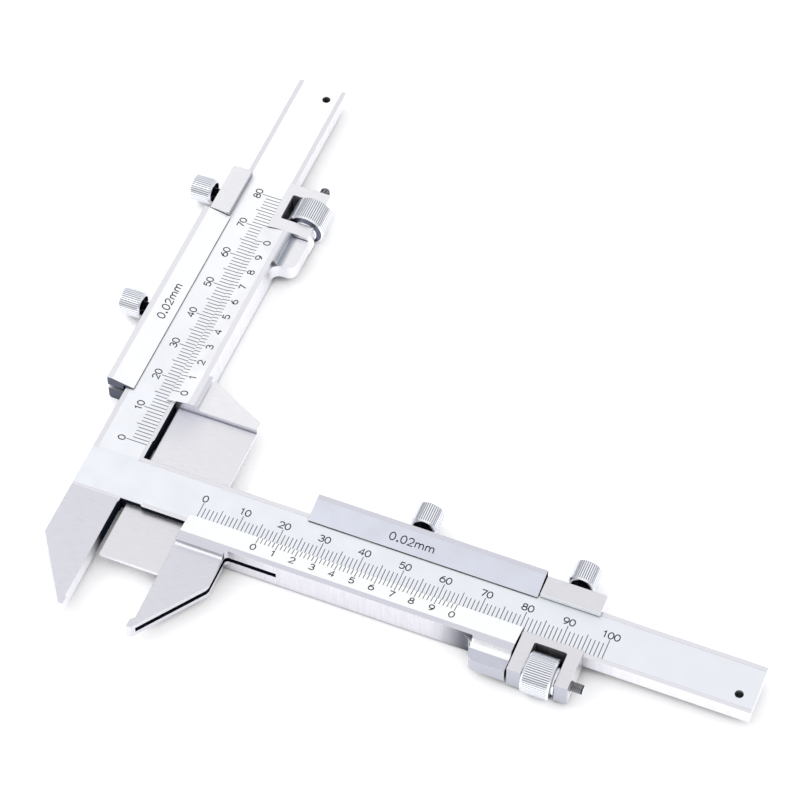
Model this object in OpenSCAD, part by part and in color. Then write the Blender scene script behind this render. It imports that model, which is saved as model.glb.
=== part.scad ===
// Gear tooth caliper with two vernier scales.
// An L-shaped frame plate holds the thickness beam, the depth beam and the fixed jaw.
// The thickness slider carries the forked sliding jaw. The depth slider carries the tongue,
// which drops through a slot in the thickness beam and through the fork of the jaw, and rests
// on top of the gear tooth. Each slider is trailed by a carriage that clamps to the beam with
// a thumb screw and pushes the slider finely with a knurled nut on a fixed stud.
// Millimetres. The sheet plane is XY, the scales face +Z, and the sliders rest on z = 0.

/* [Readings] */
// Reading set on the thickness vernier
thickness_reading = 15.85; // [0.2:0.05:48]
// Reading set on the depth vernier
depth_reading = 16.4; // [1:0.1:30]

/* [Frame] */
// Width of both graduated beams
beam_width = 12.7; // [12.3:0.1:13.1]
// Thickness of the frame plate and of the jaws
plate_thickness = 4; // [3.7:0.1:4.6]
// Reach of the thickness beam to the right of its zero line
thickness_beam_reach = 135.4; // [134:0.2:160]
// Reach of the depth beam above the middle line of the thickness beam
depth_beam_reach = 128.4; // [120:0.2:150]
// Distance from the thickness zero line to the middle line of the depth beam
depth_line = 24.55; // [24.3:0.05:26]
// Height of the depth zero line above the middle line of the thickness beam
depth_zero_height = 10.03; // [9.6:0.01:12]
// Depth of the graduated strips below the ground edges of the beams
scale_recess = 0.08; // [0.04:0.01:0.2]
// Width of the ground edge left along each side of a graduated strip
edge_strip = 1.05; // [0.6:0.05:1.6]
// Width of the ground edge left above the fixed jaw
corner_edge_strip = 0.65; // [0.5:0.05:1]
// Diameter of the hole near the end of each beam
end_hole_diameter = 2.05; // [1.5:0.05:3]
// Distance from a beam's end to the middle of its hole
end_hole_inset = 3.9; // [3:0.1:6]
// Distance of the end holes from the middle line, towards the vernier side
end_hole_offset = 2.5; // [0:0.1:3]
// Depth of the relief cuts at the inner corners of the frame
corner_relief = 0.45; // [0.2:0.05:0.8]
// Length of the relief cuts at the inner corners of the frame
corner_relief_length = 5.1; // [3:0.1:8]

/* [Jaws] */
// Distance from the middle line of the thickness beam down to the jaw tips
jaw_length = 37.3; // [34:0.1:44]
// Distance from the middle line of the thickness beam down to where the jaws start to taper
jaw_taper_start = 20.8; // [17:0.1:24]
// Width of each jaw at its tip
jaw_tip_width = 1.1; // [0.9:0.1:2]
// Width of the sliding jaw above its taper
sliding_jaw_width = 12.85; // [10:0.05:16]
// Height of the two measuring faces
measuring_face_height = 2; // [1.5:0.1:4]
// Distance of the fixed measuring face behind the inner edge of the depth beam
fixed_jaw_setback = 0.3; // [0.2:0.05:0.5]
// Step from the measuring face back to the relieved edge of the fixed jaw
fixed_jaw_relief = 0.4; // [0.2:0.05:0.8]
// Step from the measuring face back to the relieved edge of the sliding jaw
sliding_jaw_relief = 1; // [0.6:0.05:1.4]
// Length cut from each side of the outer corner of the sliding jaw
jaw_corner_flat = 0.45; // [0.2:0.05:1.5]
// Radius of the inner corner between the sliding jaw and the slider's wall
jaw_inner_radius = 1; // [0.4:0.05:1.2]
// Height of the solid tip below the fork of the sliding jaw
fork_tip_height = 0.95; // [0.6:0.05:1.4]

/* [Tongue] */
// Width of the tongue
tongue_width = 20.1; // [17:0.1:20.6]
// Thickness of the tongue
tongue_thickness = 1; // [0.8:0.05:1.1]
// Height of the slot that the tongue passes through in the beam and the jaw
tongue_slot_height = 1.5; // [1.4:0.05:1.7]
// Gap beside each edge of the tongue in the beam's slot
tongue_side_gap = 0.15; // [0.1:0.01:0.3]
// Distance from the depth beam's middle line to the near edge of the tongue
tongue_near_edge = 7.4; // [7.25:0.05:8]
// Thickness of the ear that the tongue is screwed to
ear_thickness = 1.5; // [1.3:0.05:1.6]
// Height of the ear at the slider, above the vernier's zero line
ear_rise = 6.4; // [5.8:0.1:9]
// Height of the ear at its outer edge, below the vernier's zero line
ear_tip_drop = 0.65; // [0.3:0.05:0.8]

/* [Sliders] */
// Length of the thickness slider ahead of the vernier's zero line
thickness_lead = 17.5; // [17.3:0.05:18]
// Length of the thickness slider behind the vernier's zero line
thickness_tail = 65.05; // [64:0.05:66]
// Length of the depth slider below the vernier's zero line
depth_lead = 2.85; // [2.6:0.05:3.2]
// Length of the depth slider above the vernier's zero line
depth_tail = 53.8; // [53:0.05:66]
// Distance from a beam's middle line to the thin edge of the vernier
vernier_edge = 4.3; // [4.1:0.05:4.8]
// Distance from a beam's middle line to where the vernier's bevel ends
vernier_bevel = 9.8; // [9.2:0.05:10.2]
// Distance from a beam's middle line to the slider's wall on the vernier side
vernier_wall = 11.1; // [10.9:0.05:11.5]
// Thickness of the vernier at its thin edge
vernier_lip = 0.4; // [0.25:0.05:0.6]
// Distance from a beam's middle line to the thin edge of the rail
rail_edge = 4.4; // [4.1:0.05:4.8]
// Distance from a beam's middle line to where the rail's bevel ends
rail_bevel = 9.95; // [9.2:0.05:10.3]
// Distance from a beam's middle line to the slider's wall on the rail side
rail_wall = 11.3; // [10.9:0.05:11.8]
// Thickness of the rail at its thin edge
rail_lip = 0.1; // [0.08:0.02:0.3]
// Clearance cut under the rail's thin edge, above the graduated strip
rail_relief = 0.15; // [0.05:0.01:0.25]
// Height of the sliders above the face of the beam
slider_rise = 1.5; // [1.3:0.05:2]
// Depth of the sliders' backs below the face of the beam
slider_back = 6.5; // [6.42:0.02:7.5]
// Radius of the outer back edges of the sliders
back_edge_radius = 0.8; // [0.3:0.05:1.2]
// Gap between a sliding piece and the beam
running_gap = 0.05; // [0.03:0.01:0.09]
// Space between the beam's edge and the rail for the gib spring
gib_space = 0.85; // [0.75:0.05:0.95]
// Radius of the scoop where the jaw and the ear leave the slider
root_scoop = 0.85; // [0.5:0.05:1.2]
// Distance from a beam's middle line to the start of that scoop
root_reach = 12.35; // [12.2:0.05:12.5]
// End of the fork in the thickness slider, past the vernier's zero line
fork_end = 7; // [4.8:0.1:8]

/* [Gib springs] */
// Thickness of each gib spring
gib_thickness = 0.3; // [0.2:0.02:0.34]
// Height of each gib spring
gib_height = 3.3; // [2.4:0.1:3.6]
// Length of the bent ends that slope towards the rail
gib_slope = 12; // [8:0.5:18]
// Height of the slots that hold the bent tabs
tab_slot_height = 1.2; // [1:0.1:1.5]
// Depth of those slots along the rail
tab_slot_depth = 0.9; // [0.7:0.05:1.2]

/* [Lugs and studs] */
// Length of the lug that holds the stud
lug_length = 9.5; // [8.5:0.1:12]
// Distance from a beam's middle line to the outer face of the lug
lug_reach = 16.7; // [16:0.1:18]
// Radius of the outer corner of the lug
lug_corner_radius = 2.25; // [1:0.05:3]
// Radius of the scoop between the lug and the slider's wall
lug_scoop = 2.5; // [1:0.05:4]
// Distance from a beam's middle line to the start of the scoop on top of the lug
lug_root_reach = 12; // [11.8:0.05:12.2]
// Radius of the scoop on top of the lug
lug_root_scoop = 1.2; // [0.6:0.05:1.3]
// Diameter of the studs
stud_diameter = 2.5; // [2:0.1:2.6]
// Distance from a beam's middle line to the stud
stud_line = 13.65; // [13.4:0.05:13.9]
// Depth of the stud's middle line below the face of the beam
stud_depth = 1.6; // [1.5:0.05:1.65]
// Length of the stud beyond the slider
stud_reach = 17.9; // [17:0.1:22]
// Length of the stud inside the lug
stud_grip = 8; // [5:0.1:8.2]

/* [Carriages] */
// Length of each carriage
carriage_length = 14.5; // [14.3:0.05:15.2]
// Gap between the thickness slider and its carriage
thickness_carriage_gap = 0.5; // [0.1:0.05:3]
// Gap between the depth slider and its carriage
depth_carriage_gap = 0.15; // [0.1:0.05:3]
// Distance from a beam's middle line to the thin edge on the fork side
fork_edge = 5.6; // [5:0.05:5.9]
// Distance from a beam's middle line to the ends of the fork's arms
fork_reach = 16.4; // [16:0.1:18]
// Height of the fork above the face of the beam
fork_rise = 1.3; // [1:0.05:1.5]
// Depth of the carriage's back below the face of the beam
carriage_back = 5.3; // [5.2:0.05:6]
// Length of the first arm of the fork
first_arm = 3.4; // [3:0.05:4]
// Length of the open space for the nut between the arms
nut_space = 7.9; // [7.7:0.05:8.2]
// Distance from a beam's middle line to the bottom of the space for the nut
nut_space_floor = 7.6; // [7.4:0.05:8]
// Radius of the two inner corners of the space for the nut
nut_space_radius = 0.45; // [0.2:0.05:0.7]
// Distance from a beam's middle line to the thin edge of the clamp block
block_edge = 4.9; // [4.5:0.05:5.5]
// Distance from a beam's middle line to the outer face of the clamp block
block_wall = 9.9; // [9.6:0.05:10.5]
// Radius of the far corner of the clamp block
block_corner_radius = 0.6; // [0.3:0.1:3]

/* [Nuts] */
// Diameter of the knurled adjusting nuts
nut_diameter = 9.7; // [8.6:0.05:9.75]
// Length of the knurled band of each nut
nut_band = 6.9; // [5:0.05:7]
// Diameter of the nut's hub
nut_hub_diameter = 6.6; // [4:0.1:7.2]
// Length of the shorter hub of the nut
nut_short_hub = 0.2; // [0.1:0.05:0.3]
// Play of the nut between the arms of the fork, at each end
nut_play = 0.07; // [0.05:0.01:0.2]
// Width of the chamfer at the rim of the nut
nut_chamfer = 0.45; // [0.2:0.05:0.8]

/* [Thumb screws] */
// Diameter of the knurled heads
head_diameter = 6.7; // [5.6:0.1:7]
// Length of the knurled heads
head_length = 5.7; // [4:0.1:7]
// Width of the chamfers on the heads
head_chamfer = 0.45; // [0.2:0.05:0.8]
// Diameter of the threaded shanks
shank_diameter = 2.5; // [2:0.1:2.8]
// Gap between the slider and the head of a lock screw
lock_head_gap = 2.2; // [1.5:0.1:4]
// Gap between the clamp block and the head of a clamp screw
clamp_head_gap = 2.2; // [1.5:0.1:4]
// Distance from the lock screw to the slider's end
lock_screw_inset = 31.65; // [20:0.05:40]
// Gap between the tip of a screw and the piece it presses on
tip_gap = 0.03; // [0.02:0.01:0.1]
// Thickness of the pads in front of the clamp screws
pad_thickness = 0.6; // [0.4:0.05:1]

/* [Tongue screws] */
// Diameter of the shanks of the tongue screws
tongue_screw_diameter = 1.4; // [1:0.1:1.6]
// Diameter of the heads of the tongue screws
tongue_head_diameter = 2.4; // [2:0.1:2.6]
// Height of the heads of the tongue screws
tongue_head_height = 0.8; // [0.5:0.05:1]
// Diameter of the dowels that locate the tongue
dowel_diameter = 1.2; // [1:0.1:1.4]
// Depth of the screw and dowel holes in the ear
blind_depth = 1.1; // [0.8:0.05:1.2]

/* [Hidden] */
$fn = 96;
// Small overlap that makes cuts run clear of a face
past = 0.5;
// Radial gap of a pin, screw or stud in its hole
hole_gap = 0.05;
// Radial gap of a screw or dowel that is fixed in its hole
fixed_gap = 0.02;
// Radial gap of a stud in the arms of the fork
stud_gap = 0.08;
// Width of the chamfers on the tips of the studs and thumb screws
tip_chamfer = 0.3;
// Width of the plain rim and depth of the hollow behind each thumb screw's head
head_rim = 0.9;
head_hollow = 0.4;
// Width and depth of the driving slots in the tongue screws
driving_slot = 0.35;

half_beam = beam_width / 2;
half_strip = half_beam - edge_strip;
mid_height = plate_thickness / 2;

// Frame outline, in the scale frame: thickness zero line at x = 0, beam's middle line at y = 0
frame_left = -depth_line - half_beam;
inner_corner = -depth_line + half_beam;
fixed_face = inner_corner - fixed_jaw_setback;
fixed_edge = fixed_face - fixed_jaw_relief;
corner_field_right = inner_corner + corner_relief_length;

// Sliders
thickness_zero = thickness_reading;
depth_zero = depth_zero_height + depth_reading;
rail_length = depth_lead + depth_tail;
thickness_rail_start = thickness_tail - rail_length;
web_edge = half_beam - running_gap;
channel = half_beam + running_gap;
rail_channel = half_beam + gib_space;
channel_floor = plate_thickness + running_gap;
sliding_face = fixed_face;
sliding_edge = sliding_face + sliding_jaw_relief;
sliding_right = sliding_face + sliding_jaw_width;
taper_angle = atan2(jaw_length - jaw_taper_start, sliding_jaw_width - jaw_tip_width);

// Tongue and ear, in the depth slider's frame: u up the beam, v away from the tongue
tongue_edge = -jaw_length - depth_zero_height;
tongue_far_edge = tongue_near_edge + tongue_width;
ear_reach = tongue_far_edge + running_gap;
// Inset of the tongue's upper edge from the edge of the ear
tongue_inset = 0.4;
tongue_top = ear_rise - 2 * tongue_inset;
// Places of the tongue's screws and dowels: along the beam, and the share of the tongue's width
screw_spots = [[-1, 0.336], [2.55, 0.475], [-1, 0.794]];
dowel_spots = [[3.4, 0.326], [-1, 0.58]];
screw_places = [for (spot = screw_spots) [spot[0], -tongue_near_edge - spot[1] * tongue_width]];
dowel_places = [for (spot = dowel_spots) [spot[0], -tongue_near_edge - spot[1] * tongue_width]];

// Stud, nut and screws
stud_hole = stud_diameter / 2 + stud_gap;
nut_length = nut_space - 2 * nut_play;
nut_radius = nut_diameter / 2;
gib_inner = half_beam + running_gap;
pad_inner = half_beam + running_gap;
lock_head = rail_wall + lock_head_gap;
clamp_head = block_wall + clamp_head_gap;
lock_place = -lock_screw_inset;

// Shift from the scale frame to the middle of the whole part's footprint, resting on z = 0
left_end = -depth_line - lock_head - head_length;
shift = [
    -(left_end + thickness_beam_reach) / 2,
    -(depth_beam_reach - jaw_length) / 2,
    slider_back
];

// Placement. Along each beam u runs away from the corner and v points to the rail's side.

module on_thickness_beam(at) {
    translate(shift) translate([at, 0, 0]) children();
}

module on_depth_beam(at) {
    translate(shift) translate([-depth_line, at, 0]) rotate([0, 0, 90]) children();
}

// Extrudes a (v, z) section from u = start to u = end
module along_beam(start, end) {
    translate([start, 0, 0]) rotate([90, 0, 90]) linear_extrude(end - start) children();
}

// Extrudes a (u, v) outline between two heights
module sheet(low, high) {
    translate([0, 0, low]) linear_extrude(high - low) children();
}

// Turns an (axis, radius) profile about a line across the beam, starting at v = at
module across_beam(u, at) {
    translate([u, at, -mid_height]) rotate([-90, 0, 0]) rotate_extrude() children();
}

// The sliver between a square corner at the origin and an arc tangent to its two sides,
// which run along +x and +y. It overlaps the material behind the corner.
module corner_sliver(radius) {
    overlap = 0.1;
    difference() {
        translate([-overlap, -overlap]) square(radius + overlap);
        translate([radius, radius]) circle(radius);
    }
}

// Frame

module frame_outline() {
    polygon([
        [frame_left, depth_beam_reach],
        [frame_left, -jaw_taper_start],
        [fixed_face - jaw_tip_width, -jaw_length],
        [fixed_face, -jaw_length],
        [fixed_face, -jaw_length + measuring_face_height],
        [fixed_edge, -jaw_length + measuring_face_height + fixed_jaw_relief],
        [fixed_edge, -half_beam - 2 * corner_relief],
        [inner_corner - corner_relief, -half_beam - corner_relief],
        [inner_corner - corner_relief, -half_beam + corner_relief],
        [inner_corner + corner_relief_length - corner_relief, -half_beam + corner_relief],
        [inner_corner + corner_relief_length, -half_beam],
        [thickness_beam_reach, -half_beam],
        [thickness_beam_reach, half_beam],
        [inner_corner - corner_relief / 2, half_beam],
        [inner_corner - corner_relief / 2, half_beam + corner_relief_length],
        [inner_corner, half_beam + corner_relief_length + corner_relief],
        [inner_corner, depth_beam_reach]
    ]);
}

module frame() {
    strip = 2 * half_strip;
    color([0.74, 0.75, 0.77])
    translate(shift)
    difference() {
        sheet(-plate_thickness, 0) frame_outline();
        // graduated strips, and the plain field where they meet
        translate([frame_left - past, -half_strip, -scale_recess])
            cube([thickness_beam_reach - frame_left + 2 * past, strip, plate_thickness]);
        translate([-depth_line - half_strip, 0, -scale_recess])
            cube([strip, depth_beam_reach + past, plate_thickness]);
        translate([frame_left - past, -half_beam + corner_edge_strip, -scale_recess])
            cube([corner_field_right - frame_left + past, half_beam, plate_thickness]);
        // slot for the tongue
        translate([
            -depth_line + tongue_near_edge - tongue_side_gap,
            -beam_width,
            -mid_height - tongue_slot_height / 2
        ])
            cube([tongue_width + 2 * tongue_side_gap, 2 * beam_width, tongue_slot_height]);
        // end holes
        translate([thickness_beam_reach - end_hole_inset, -end_hole_offset, -plate_thickness - past])
            cylinder(h = plate_thickness + 2 * past, d = end_hole_diameter);
        translate([
            -depth_line + end_hole_offset,
            depth_beam_reach - end_hole_inset,
            -plate_thickness - past
        ])
            cylinder(h = plate_thickness + 2 * past, d = end_hole_diameter);
    }
}

// Sliders

// Section of the web, the wall and the bevelled lip on the vernier's side
module vernier_section() {
    difference() {
        polygon([
            [web_edge, -slider_back],
            [web_edge, -channel_floor],
            [-channel, -channel_floor],
            [-channel, running_gap],
            [-vernier_edge, running_gap],
            [-vernier_edge, running_gap + vernier_lip],
            [-vernier_bevel, slider_rise],
            [-vernier_wall, slider_rise],
            [-vernier_wall, -slider_back]
        ]);
        translate([-vernier_wall, -slider_back]) corner_sliver(back_edge_radius);
    }
}

// Section of the rail, with the space for the gib spring
module rail_section() {
    difference() {
        polygon([
            [0, -slider_back],
            [rail_wall, -slider_back],
            [rail_wall, slider_rise],
            [rail_bevel, slider_rise],
            [rail_edge, running_gap + rail_relief + rail_lip],
            [rail_edge, running_gap + rail_relief],
            [half_strip, running_gap + rail_relief],
            [half_strip, running_gap],
            [rail_channel, running_gap],
            [rail_channel, -channel_floor],
            [0, -channel_floor]
        ]);
        translate([rail_wall, -slider_back]) rotate(90) corner_sliver(back_edge_radius);
    }
}

// Raised root where a plate leaves the vernier's wall, with a scoop down to the plate
module root_section(reach, scoop) {
    translate([-reach, -plate_thickness])
        square([reach - vernier_bevel, plate_thickness + slider_rise]);
    translate([-reach, 0]) rotate(90) corner_sliver(scoop);
}

module lug(end) {
    start = end - lug_length;
    sheet(-plate_thickness, 0)
    difference() {
        union() {
            translate([start, -lug_reach]) square([lug_length, lug_reach - vernier_bevel]);
            translate([start, -vernier_wall]) rotate(180) corner_sliver(lug_scoop);
        }
        translate([start, -lug_reach]) corner_sliver(lug_corner_radius);
    }
    along_beam(start, end) root_section(lug_root_reach, lug_root_scoop);
}

module slider_body(start, end) {
    rail_start = end - rail_length;
    difference() {
        union() {
            along_beam(start, end) vernier_section();
            along_beam(rail_start, end) rail_section();
            lug(end);
        }
        // hole for the stud
        translate([end - stud_grip, -stud_line, -stud_depth])
            rotate([0, 90, 0])
            cylinder(h = stud_grip + past, d = stud_diameter + 2 * fixed_gap);
        // hole for the lock screw
        translate([end + lock_place, half_beam, -mid_height])
            rotate([-90, 0, 0])
            cylinder(h = rail_wall, d = shank_diameter + 2 * hole_gap);
        // slots for the tabs of the gib spring
        for (u = [rail_start - past, end - tab_slot_depth])
            translate([u, half_beam + running_gap, -mid_height - tab_slot_height / 2])
                cube([tab_slot_depth + past, rail_wall, tab_slot_height]);
    }
}

module sliding_jaw_outline() {
    polygon([
        [sliding_edge, -vernier_bevel],
        [sliding_edge, -jaw_length + measuring_face_height + sliding_jaw_relief],
        [sliding_face, -jaw_length + measuring_face_height],
        [sliding_face, -jaw_length],
        [sliding_face + jaw_tip_width, -jaw_length],
        [
            sliding_right - jaw_corner_flat * cos(taper_angle),
            -jaw_taper_start - jaw_corner_flat * sin(taper_angle)
        ],
        [sliding_right, -jaw_taper_start + jaw_corner_flat],
        [sliding_right, -vernier_bevel]
    ]);
}

module thickness_slider() {
    fork_top = -channel + past;
    fork_bottom = -jaw_length + fork_tip_height;
    color([0.72, 0.73, 0.75])
    on_thickness_beam(thickness_zero)
    difference() {
        union() {
            slider_body(-thickness_lead, thickness_tail);
            sheet(-plate_thickness, 0) sliding_jaw_outline();
            along_beam(sliding_edge, sliding_right) root_section(root_reach, root_scoop);
            sheet(-plate_thickness, slider_rise)
                translate([sliding_right, -vernier_wall])
                rotate(-90)
                corner_sliver(jaw_inner_radius);
        }
        // fork that straddles the tongue
        translate([sliding_face - past, fork_bottom, -mid_height - tongue_slot_height / 2])
            cube([
                fork_end - sliding_face + past,
                fork_top - fork_bottom,
                tongue_slot_height
            ]);
    }
}

module ear_outline() {
    polygon([
        [-depth_lead, -vernier_bevel],
        [-depth_lead, -ear_reach],
        [-ear_tip_drop, -ear_reach],
        [ear_rise, -root_reach],
        [ear_rise, -vernier_bevel]
    ]);
}

module tongue_outline() {
    polygon([
        [tongue_edge, -tongue_near_edge],
        [tongue_edge, -tongue_far_edge],
        [-ear_tip_drop - tongue_inset, -tongue_far_edge],
        [tongue_top, -root_reach],
        [tongue_top, -tongue_near_edge]
    ]);
}

module ear_holes() {
    low = -ear_thickness - tongue_thickness - past;
    deep = tongue_thickness + blind_depth + past;
    for (place = screw_places)
        translate([place[0], place[1], low])
            cylinder(h = deep, d = tongue_screw_diameter + 2 * fixed_gap);
    for (place = dowel_places)
        translate([place[0], place[1], low])
            cylinder(h = deep, d = dowel_diameter + 2 * fixed_gap);
}

module depth_slider() {
    color([0.72, 0.73, 0.75])
    on_depth_beam(depth_zero)
    difference() {
        union() {
            slider_body(-depth_lead, depth_tail);
            sheet(-ear_thickness, 0) ear_outline();
            along_beam(-depth_lead, ear_rise) root_section(root_reach, root_scoop);
        }
        // seat of the tongue in the slider's wall
        translate([
            -depth_lead - past,
            -tongue_far_edge,
            -ear_thickness - tongue_thickness - hole_gap
        ])
            cube([
                depth_lead + tongue_top + fixed_gap + past,
                tongue_width + fixed_gap,
                tongue_thickness + hole_gap
            ]);
        ear_holes();
    }
}

// Gib springs: a bowed strip along the beam's edge, held by a bent tab at each end

module gib_spring(start, end) {
    near = start + tab_slot_depth - gib_thickness - hole_gap;
    far = end - tab_slot_depth + gib_thickness + hole_gap;
    inner = gib_inner;
    outer = rail_channel;
    sheet(-mid_height - gib_height / 2, -mid_height + gib_height / 2)
    polygon([
        [near, outer - gib_thickness],
        [near + gib_slope, inner],
        [far - gib_slope, inner],
        [far, outer - gib_thickness],
        [far, outer],
        [far - gib_slope, inner + gib_thickness],
        [near + gib_slope, inner + gib_thickness],
        [near, outer]
    ]);
    for (u = [near, far - gib_thickness])
        translate([u, outer - gib_thickness, -mid_height - tab_slot_height / 2 + hole_gap])
            cube([gib_thickness, gib_space + gib_thickness, tab_slot_height - 2 * hole_gap]);
}

module thickness_gib_spring() {
    color([0.55, 0.56, 0.58])
    on_thickness_beam(thickness_zero)
    gib_spring(thickness_rail_start, thickness_tail);
}

module depth_gib_spring() {
    color([0.55, 0.56, 0.58])
    on_depth_beam(depth_zero)
    gib_spring(-depth_lead, depth_tail);
}

// Thumb screws

module thumb_screw(u, tip, head) {
    head_radius = head_diameter / 2;
    shank_radius = shank_diameter / 2;
    hollow_radius = head_radius - head_rim;
    across_beam(u, 0)
    polygon([
        [0, tip],
        [shank_radius - tip_chamfer, tip],
        [shank_radius, tip + tip_chamfer],
        [shank_radius, head + head_hollow],
        [hollow_radius, head + head_hollow],
        [hollow_radius, head],
        [head_radius - head_chamfer, head],
        [head_radius, head + head_chamfer],
        [head_radius, head + head_length - head_chamfer],
        [head_radius - head_chamfer, head + head_length],
        [0, head + head_length]
    ]);
}

module lock_screw(slider_end) {
    thumb_screw(slider_end + lock_place, gib_inner + gib_thickness + tip_gap, lock_head);
}

module clamp_screw(carriage_start) {
    thumb_screw(
        carriage_start + carriage_length / 2,
        pad_inner + pad_thickness + tip_gap,
        clamp_head
    );
}

module thickness_lock_screw() {
    color([0.78, 0.78, 0.79])
    on_thickness_beam(thickness_zero)
    lock_screw(thickness_tail);
}

module depth_lock_screw() {
    color([0.78, 0.78, 0.79])
    on_depth_beam(depth_zero)
    lock_screw(depth_tail);
}

module thickness_clamp_screw() {
    color([0.78, 0.78, 0.79])
    on_thickness_beam(thickness_zero)
    clamp_screw(thickness_tail + thickness_carriage_gap);
}

module depth_clamp_screw() {
    color([0.78, 0.78, 0.79])
    on_depth_beam(depth_zero)
    clamp_screw(depth_tail + depth_carriage_gap);
}

// Carriages

module carriage_section() {
    polygon([
        [-fork_edge, running_gap],
        [-fork_edge, fork_rise],
        [-fork_reach, fork_rise],
        [-fork_reach, -carriage_back],
        [block_wall, -carriage_back],
        [block_wall, slider_rise],
        [block_edge, slider_rise],
        [block_edge, running_gap],
        [channel, running_gap],
        [channel, -channel_floor],
        [-channel, -channel_floor],
        [-channel, running_gap]
    ]);
}

module nut_space_outline(near) {
    difference() {
        translate([near, -fork_reach - past])
            square([nut_space, fork_reach + past - nut_space_floor]);
        translate([near, -nut_space_floor])
            rotate(-90)
            corner_sliver(nut_space_radius);
        translate([near + nut_space, -nut_space_floor])
            rotate(180)
            corner_sliver(nut_space_radius);
    }
}

module carriage(start) {
    end = start + carriage_length;
    difference() {
        along_beam(start, end) carriage_section();
        // space for the nut
        sheet(-carriage_back - past, slider_rise + past)
            nut_space_outline(start + first_arm);
        // holes for the stud
        translate([start - past, -stud_line, -stud_depth])
            rotate([0, 90, 0])
            cylinder(h = carriage_length + 2 * past, r = stud_hole);
        // bore for the pad and the clamp screw
        translate([start + carriage_length / 2, half_beam, -mid_height])
            rotate([-90, 0, 0])
            cylinder(h = block_wall, d = shank_diameter + 2 * hole_gap);
        // rounded far corner of the clamp block
        sheet(-carriage_back - past, slider_rise + past)
            translate([end, block_wall])
            rotate(180)
            corner_sliver(block_corner_radius);
    }
}

module clamp_pad(carriage_start) {
    across_beam(carriage_start + carriage_length / 2, 0)
    polygon([
        [0, pad_inner],
        [shank_diameter / 2, pad_inner],
        [shank_diameter / 2, pad_inner + pad_thickness],
        [0, pad_inner + pad_thickness]
    ]);
}

module thickness_carriage() {
    color([0.7, 0.71, 0.73])
    on_thickness_beam(thickness_zero)
    carriage(thickness_tail + thickness_carriage_gap);
}

module depth_carriage() {
    color([0.7, 0.71, 0.73])
    on_depth_beam(depth_zero)
    carriage(depth_tail + depth_carriage_gap);
}

module thickness_clamp_pad() {
    color([0.8, 0.66, 0.35])
    on_thickness_beam(thickness_zero)
    clamp_pad(thickness_tail + thickness_carriage_gap);
}

module depth_clamp_pad() {
    color([0.8, 0.66, 0.35])
    on_depth_beam(depth_zero)
    clamp_pad(depth_tail + depth_carriage_gap);
}

// Adjusting nuts and studs

module adjusting_nut(carriage_start, band_start) {
    bore = stud_diameter / 2 + hole_gap;
    hub = nut_hub_diameter / 2;
    band_end = band_start + nut_band;
    translate([carriage_start + first_arm + nut_play, -stud_line, -stud_depth])
    rotate([0, 90, 0])
    rotate_extrude()
    polygon([
        [bore, 0],
        [hub, 0],
        [hub, band_start],
        [nut_radius - nut_chamfer, band_start],
        [nut_radius, band_start + nut_chamfer],
        [nut_radius, band_end - nut_chamfer],
        [nut_radius - nut_chamfer, band_end],
        [hub, band_end],
        [hub, nut_length],
        [bore, nut_length]
    ]);
}

module adjusting_stud(slider_end) {
    stud_radius = stud_diameter / 2;
    translate([slider_end - stud_grip, -stud_line, -stud_depth])
    rotate([0, 90, 0])
    rotate_extrude()
    polygon([
        [0, 0],
        [stud_radius, 0],
        [stud_radius, stud_grip + stud_reach - tip_chamfer],
        [stud_radius - tip_chamfer, stud_grip + stud_reach],
        [0, stud_grip + stud_reach]
    ]);
}

module thickness_adjusting_nut() {
    color([0.76, 0.76, 0.78])
    on_thickness_beam(thickness_zero)
    adjusting_nut(thickness_tail + thickness_carriage_gap, nut_short_hub);
}

module depth_adjusting_nut() {
    color([0.76, 0.76, 0.78])
    on_depth_beam(depth_zero)
    adjusting_nut(depth_tail + depth_carriage_gap, nut_length - nut_band - nut_short_hub);
}

module thickness_adjusting_stud() {
    color([0.6, 0.6, 0.62])
    on_thickness_beam(thickness_zero)
    adjusting_stud(thickness_tail);
}

module depth_adjusting_stud() {
    color([0.6, 0.6, 0.62])
    on_depth_beam(depth_zero)
    adjusting_stud(depth_tail);
}

// Tongue and its fixings

module tongue() {
    color([0.73, 0.74, 0.76])
    on_depth_beam(depth_zero)
    difference() {
        sheet(-ear_thickness - tongue_thickness, -ear_thickness) tongue_outline();
        ear_holes();
    }
}

module tongue_screws() {
    head_low = -ear_thickness - tongue_thickness - tongue_head_height;
    color([0.6, 0.6, 0.62])
    on_depth_beam(depth_zero)
    for (place = screw_places)
        translate([place[0], place[1], head_low])
            difference() {
                union() {
                    cylinder(h = tongue_head_height, d = tongue_head_diameter);
                    cylinder(
                        h = tongue_head_height + tongue_thickness + blind_depth - hole_gap,
                        d = tongue_screw_diameter
                    );
                }
                translate([-tongue_head_diameter, -driving_slot / 2, -past])
                    cube([2 * tongue_head_diameter, driving_slot, driving_slot + past]);
            }
}

module tongue_dowels() {
    color([0.6, 0.6, 0.62])
    on_depth_beam(depth_zero)
    for (place = dowel_places)
        translate([place[0], place[1], -ear_thickness - tongue_thickness])
            cylinder(h = tongue_thickness + blind_depth - hole_gap, d = dowel_diameter);
}

frame();
thickness_slider();
thickness_gib_spring();
thickness_lock_screw();
thickness_carriage();
thickness_clamp_pad();
thickness_clamp_screw();
thickness_adjusting_nut();
thickness_adjusting_stud();
depth_slider();
depth_gib_spring();
depth_lock_screw();
depth_carriage();
depth_clamp_pad();
depth_clamp_screw();
depth_adjusting_nut();
depth_adjusting_stud();
tongue();
tongue_screws();
tongue_dowels();
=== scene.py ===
"""Gear tooth caliper: finishes, graduations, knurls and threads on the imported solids."""

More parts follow.
